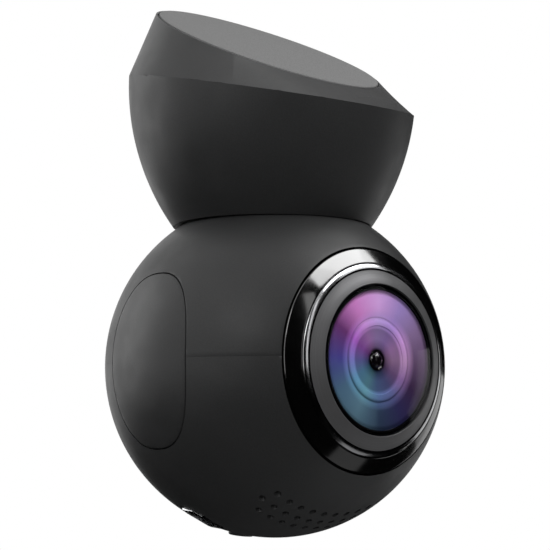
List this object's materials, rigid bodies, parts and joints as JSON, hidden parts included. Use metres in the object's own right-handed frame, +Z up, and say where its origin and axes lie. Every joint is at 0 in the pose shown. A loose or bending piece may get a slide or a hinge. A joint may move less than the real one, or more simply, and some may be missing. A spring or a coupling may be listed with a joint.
{
  "type": "dash camera",
  "caption": "Ball-shaped dash camera with a ringed lens, side keys and a round rear screen, turning in a magnetic cup with a slanted adhesive pad for a windshield.",
  "frame": {"origin": "middle of the sticky face of the windshield pad", "axes": "+Z up along the mount's upright axis, -Y forward out of the lens, +X to the right as seen from in front of the lens"},
  "size_m": [0.054, 0.0503, 0.0876],
  "materials": {
    "shell_plastic": "fine-grained charcoal moulding",
    "key_plastic": "fine-grained charcoal moulding",
    "inner_plastic": "plain black moulding",
    "gloss_plastic": "polished black",
    "ring_metal": "turned and polished",
    "bright_metal": "tinned sheet",
    "steel": "zinc plated",
    "magnet_plating": "nickel plated",
    "foam": "closed-cell acrylic foam",
    "slide_plastic": "waxy low-friction plastic",
    "clear_glass": "clear and polished",
    "coated_glass": "violet anti-reflection coating",
    "filter_glass": "pale teal filter coating",
    "board_laminate": "green solder mask",
    "chip": "black moulding compound",
    "cell_foil": "satin foil pouch",
    "screen": "dark display panel",
    "card_plastic": "black card moulding",
    "white_plastic": "natural white moulding"
  },
  "bodies": {
    "mount": {"mount_cup": "shell_plastic", "mount_cap": "shell_plastic", "adhesive_pad": "foam", "mount_magnet": "magnet_plating", "magnet_yoke": "steel", "yoke_screw_1": "steel", "yoke_screw_2": "steel", "yoke_screw_3": "steel"},
    "seat": {"seat_ring": "slide_plastic"},
    "camera": {"upper_shell": "shell_plastic", "lower_shell": "shell_plastic", "steel_keeper": "steel", "front_frame": "inner_plastic", "front_screw_1": "steel", "front_screw_2": "steel", "front_screw_3": "steel", "front_screw_4": "steel", "bezel_ring": "gloss_plastic", "lens_ring": "ring_metal", "lens_cover": "clear_glass", "lens_barrel": "inner_plastic", "front_lens_element": "coated_glass", "aperture_plate": "inner_plastic", "rear_lens_element": "coated_glass", "ir_filter": "filter_glass", "image_sensor": "chip", "sensor_board": "board_laminate", "sensor_screw_1": "steel", "sensor_screw_2": "steel", "microphone": "bright_metal", "rear_frame": "inner_plastic", "rear_screw_1": "steel", "rear_screw_2": "steel", "rear_screw_3": "steel", "rear_screw_4": "steel", "rear_bezel": "gloss_plastic", "display_window": "clear_glass", "display_module": "screen", "main_board": "board_laminate", "board_screw_1": "steel", "board_screw_2": "steel", "board_screw_3": "steel", "processor_shield": "bright_metal", "battery": "cell_foil", "usb_socket": "bright_metal", "card_socket": "bright_metal", "speaker": "inner_plastic", "speaker_gasket": "foam", "left_switch": "chip", "right_switch": "chip", "reset_switch": "chip"},
    "left_key": {"left_button": "key_plastic", "left_plunger": "white_plastic"},
    "right_key": {"right_button": "key_plastic", "right_plunger": "white_plastic"},
    "reset_key": {"reset_button": "key_plastic", "reset_plunger": "white_plastic"},
    "card": {"memory_card": "card_plastic"}
  },
  "joints": [
    {"name": "seat_pan", "type": "hinge", "parent": "mount", "child": "seat", "pos_m": [0, -0.00135, -0.0521], "axis": [0, 0, 1], "continuous": true},
    {"name": "camera_tilt", "type": "hinge", "parent": "seat", "child": "camera", "pos_m": [0, -0.00135, -0.0521], "axis": [1, 0, 0], "range_deg": [-30, 30]},
    {"name": "left_key_press", "type": "slide", "parent": "camera", "child": "left_key", "axis": [1, 0, 0], "range_m": [0, 0.0004], "stiffness_N_per_m": 3000, "springref_m": -0.0003},
    {"name": "right_key_press", "type": "slide", "parent": "camera", "child": "right_key", "axis": [-1, 0, 0], "range_m": [0, 0.0004], "stiffness_N_per_m": 3000, "springref_m": -0.0003},
    {"name": "reset_key_press", "type": "slide", "parent": "camera", "child": "reset_key", "axis": [0.1392, 0, 0.9903], "range_m": [0, 0.00025], "stiffness_N_per_m": 3000, "springref_m": -0.0003},
    {"name": "card_pull", "type": "slide", "parent": "camera", "child": "card", "axis": [0.4067, 0, -0.9135], "range_m": [0, 0.0165]}
  ]
}
